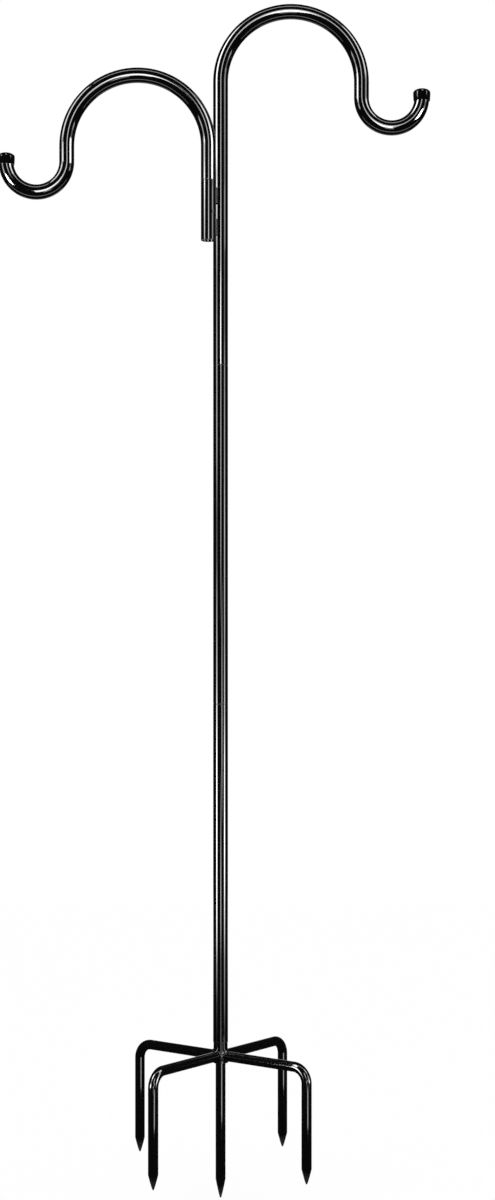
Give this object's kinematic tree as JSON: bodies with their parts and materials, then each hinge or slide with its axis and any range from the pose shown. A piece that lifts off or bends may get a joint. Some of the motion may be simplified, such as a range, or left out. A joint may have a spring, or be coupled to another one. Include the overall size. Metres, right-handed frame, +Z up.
{
  "type": "hanging plant stand",
  "caption": "Tall tube mast on a pronged ground stake, with a crook-ended hook at the top and a lower hook on a side receiver that swivels and lifts off.",
  "frame": {"origin": "on the mast's axis, at the underside of the stake's hub, which is the soil line", "axes": "+Z up along the mast, +X towards the tall hook, -X towards the side hook, -Y towards the picture's viewer"},
  "size_m": [0.5514, 0.2276, 1.524],
  "materials": {
    "tube_coat": "high-gloss black enamel on steel tube",
    "stake_coat": "gloss black enamel on steel rod, a little worn towards the points",
    "weld_coat": "gloss black enamel over rippled weld beads",
    "plated_steel": "zinc-plated, turned",
    "end_cap": "gloss black moulded plastic"
  },
  "bodies": {
    "ground_stake": {"centre_spike": "stake_coat", "stake_hub": "stake_coat", "stake_welds": "weld_coat", "prong_front_right": "stake_coat", "prong_rear_right": "stake_coat", "prong_rear_left": "stake_coat", "prong_front_left": "stake_coat"},
    "lower_mast": {"lower_tube": "tube_coat", "lower_coupler": "plated_steel"},
    "middle_mast": {"middle_tube": "tube_coat", "middle_coupler": "plated_steel"},
    "top_mast": {"main_hook": "tube_coat", "main_hook_cap": "end_cap", "side_receiver": "tube_coat", "receiver_welds": "weld_coat", "receiver_stop_pin": "tube_coat"},
    "swivel_pin": {"joining_pin": "plated_steel"},
    "side_arm": {"side_hook": "tube_coat", "side_hook_cap": "end_cap"}
  },
  "joints": [
    {"name": "mast_swivel", "type": "hinge", "parent": "ground_stake", "child": "lower_mast", "pos_m": [0, 0, 0.026], "axis": [0, 0, 1], "continuous": true},
    {"name": "middle_section_lift", "type": "slide", "parent": "lower_mast", "child": "middle_mast", "axis": [0, 0, 1], "range_m": [0, 0.055]},
    {"name": "top_section_lift", "type": "slide", "parent": "middle_mast", "child": "top_mast", "axis": [0, 0, 1], "range_m": [0, 0.055]},
    {"name": "side_hook_swivel", "type": "hinge", "parent": "top_mast", "child": "swivel_pin", "pos_m": [-0.01536, -0.01289, 1.123], "axis": [0, 0, 1], "range_deg": [-60, 140]},
    {"name": "side_hook_lift", "type": "slide", "parent": "swivel_pin", "child": "side_arm", "axis": [0, 0, 1], "range_m": [0, 0.042]}
  ]
}
